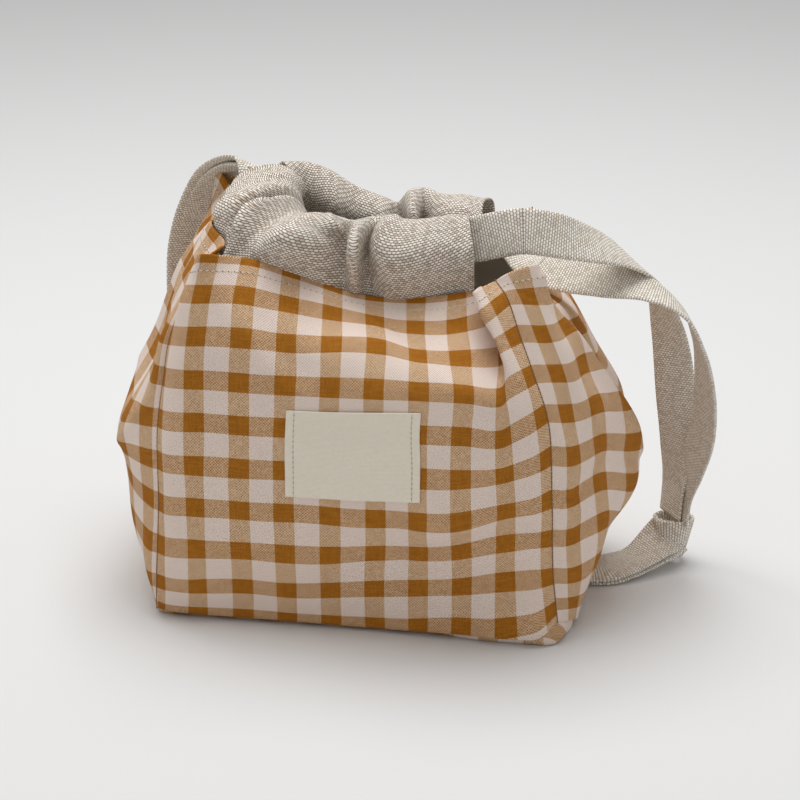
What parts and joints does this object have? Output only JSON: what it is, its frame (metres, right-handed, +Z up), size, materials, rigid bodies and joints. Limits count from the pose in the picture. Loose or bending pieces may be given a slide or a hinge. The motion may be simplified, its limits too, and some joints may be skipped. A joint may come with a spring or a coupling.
{
  "type": "drawstring project bag",
  "caption": "Boxy lined cloth bag with a gathered linen collar that webbing straps draw shut, knotted into carrying loops at both sides.",
  "frame": {"origin": "on the floor, under the middle of the base", "axes": "+Z up, +X across the front towards the right-hand loop, the labelled front faces -Y"},
  "size_m": [0.2798, 0.182, 0.1947],
  "materials": {
    "gingham": "woven mustard and white check",
    "lining": "plain cotton",
    "linen": "coarse basket weave",
    "webbing": "cotton webbing",
    "label": "cotton tape"
  },
  "bodies": {
    "bag": {"front_panel": "gingham", "right_panel": "gingham", "back_panel": "gingham", "left_panel": "gingham", "base_panel": "gingham", "front_lining": "lining", "right_lining": "lining", "back_lining": "lining", "left_lining": "lining", "base_lining": "lining", "label": "label"},
    "front_collar": {"front_collar": "linen", "front_strap_run": "webbing"},
    "back_collar": {"back_collar": "linen", "back_strap_run": "webbing"},
    "right_drawstring": {"right_front_lead": "webbing", "right_back_lead": "webbing"},
    "right_loop": {"right_front_strand": "webbing", "right_back_strand": "webbing", "right_knot": "webbing", "right_upper_tail": "webbing", "right_lower_tail": "webbing"},
    "left_drawstring": {"left_front_lead": "webbing", "left_back_lead": "webbing"},
    "left_loop": {"left_front_strand": "webbing", "left_back_strand": "webbing", "left_knot": "webbing", "left_upper_tail": "webbing", "left_lower_tail": "webbing"}
  },
  "joints": [
    {"name": "right_draw", "type": "slide", "parent": "bag", "child": "right_drawstring", "axis": [1, 0, 0], "range_m": [0, 0.03]},
    {"name": "left_draw", "type": "slide", "parent": "bag", "child": "left_drawstring", "axis": [-0.8, 0.6, 0], "range_m": [0, 0.015]},
    {"name": "front_collar_swing", "type": "hinge", "parent": "bag", "child": "front_collar", "pos_m": [0, -0.0362, 0.1474], "axis": [1, 0, 0], "range_deg": [-9, 0]},
    {"name": "back_collar_swing", "type": "hinge", "parent": "bag", "child": "back_collar", "pos_m": [0, 0.0362, 0.1474], "axis": [-1, 0, 0], "range_deg": [-9, 0]},
    {"name": "right_lift", "type": "hinge", "parent": "right_drawstring", "child": "right_loop", "pos_m": [0.072, 0, 0.176], "axis": [0, -1, 0], "range_deg": [0, 140], "deforming": ["right_front_lead", "right_back_lead"]},
    {"name": "left_lift", "type": "hinge", "parent": "left_drawstring", "child": "left_loop", "pos_m": [-0.068, 0.033, 0.186], "axis": [0, 1, 0], "range_deg": [0, 140], "deforming": ["left_front_lead", "left_back_lead"]}
  ],
  "couplings": [
    {"joint": "left_draw", "follows": "right_draw", "ratio": 0.5},
    {"joint": "front_collar_swing", "follows": "right_draw", "rad_per_m": -5.23},
    {"joint": "back_collar_swing", "follows": "right_draw", "rad_per_m": -5.23}
  ]
}
